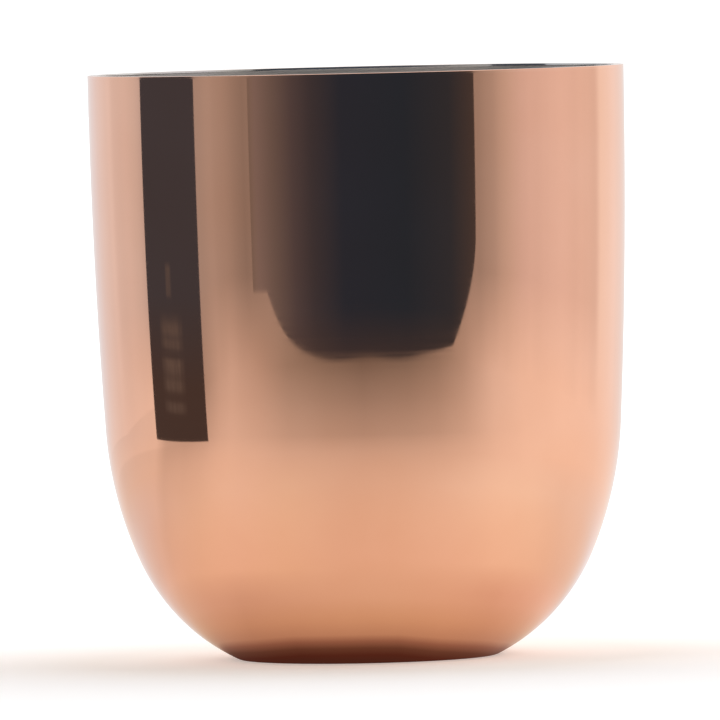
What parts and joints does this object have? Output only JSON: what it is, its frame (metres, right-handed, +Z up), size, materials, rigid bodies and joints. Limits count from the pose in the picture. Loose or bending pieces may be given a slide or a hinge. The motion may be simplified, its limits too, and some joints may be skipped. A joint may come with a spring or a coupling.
{
  "type": "bar jigger",
  "caption": "Single-ended bar measure: a double-walled cup with a mirror copper outside, a steel inside, a straight wall, a deep rounded bowl and a small flat foot.",
  "frame": {"origin": "centre of the foot's underside, on the cup's own axis", "axes": "+Z up along the cup's axis, out of its mouth; the cup is round, so +X and +Y are free"},
  "size_m": [0.048, 0.048, 0.0526],
  "materials": {
    "copper_finish": "polished",
    "cup_steel": "satin",
    "lip": "polished"
  },
  "bodies": {
    "root": {"outer_shell": "copper_finish", "measuring_cup": "cup_steel", "base_plate": "copper_finish", "lip_weld": "lip", "base_weld": "copper_finish"}
  },
  "joints": []
}
